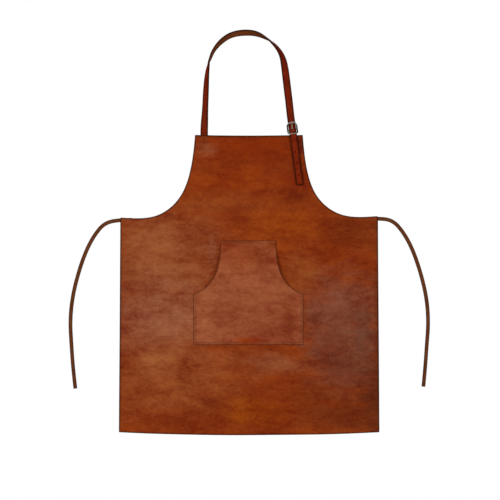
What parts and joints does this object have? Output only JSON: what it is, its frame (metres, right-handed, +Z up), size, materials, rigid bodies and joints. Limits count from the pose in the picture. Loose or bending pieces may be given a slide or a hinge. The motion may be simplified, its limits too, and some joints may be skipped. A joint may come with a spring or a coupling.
{
  "type": "butcher apron",
  "caption": "Leather butcher apron with a bib, a buckled neck strap, a sewn patch pocket with curved side mouths, and waist ties.",
  "frame": {"origin": "the middle of the neck strap at the top of its loop, where a peg or the back of a neck carries the apron", "axes": "+Z up along the hanging apron, -Y out of the grain side that faces the viewer, +X to the viewer's right"},
  "size_m": [0.9667, 0.0264, 1.082],
  "materials": {
    "panel_leather": "waxed grain leather",
    "pocket_leather": "waxed grain leather",
    "strap_leather": "burnished strap leather",
    "tail_leather": "burnished strap leather",
    "chape_leather": "burnished strap leather",
    "buckle_metal": "worn nickel plate",
    "prong_metal": "worn nickel plate",
    "tie_leather": "matt lace leather",
    "thread": "waxed thread"
  },
  "bodies": {
    "apron": {"apron_panel": "panel_leather", "pocket": "pocket_leather", "neck_strap": "strap_leather", "buckle_chape": "chape_leather", "tie_left": "tie_leather", "tie_right": "tie_leather", "pocket_thread_top": "thread", "pocket_thread_left": "thread", "pocket_thread_right": "thread", "pocket_thread_bottom": "thread", "neck_strap_thread": "thread", "tie_left_thread": "thread", "tie_right_thread": "thread", "chape_thread": "thread"},
    "buckle": {"buckle_frame": "buckle_metal"},
    "prong": {"buckle_prong": "prong_metal"},
    "tail": {"strap_tail": "tail_leather"}
  },
  "joints": [
    {"name": "buckle_rock", "type": "hinge", "parent": "apron", "child": "buckle", "pos_m": [0.1154, 0, -0.2587], "axis": [0.9907, 0, 0.1357], "range_deg": [-2, 2]},
    {"name": "prong_swing", "type": "hinge", "parent": "buckle", "child": "prong", "pos_m": [0.1154, 0, -0.2587], "axis": [0.9907, 0, 0.1357], "range_deg": [0, 40]},
    {"name": "tail_lift", "type": "hinge", "parent": "apron", "child": "tail", "pos_m": [0.11737, -0.0053, -0.27307], "axis": [-0.9907, 0, -0.1357], "range_deg": [0, 75]}
  ]
}
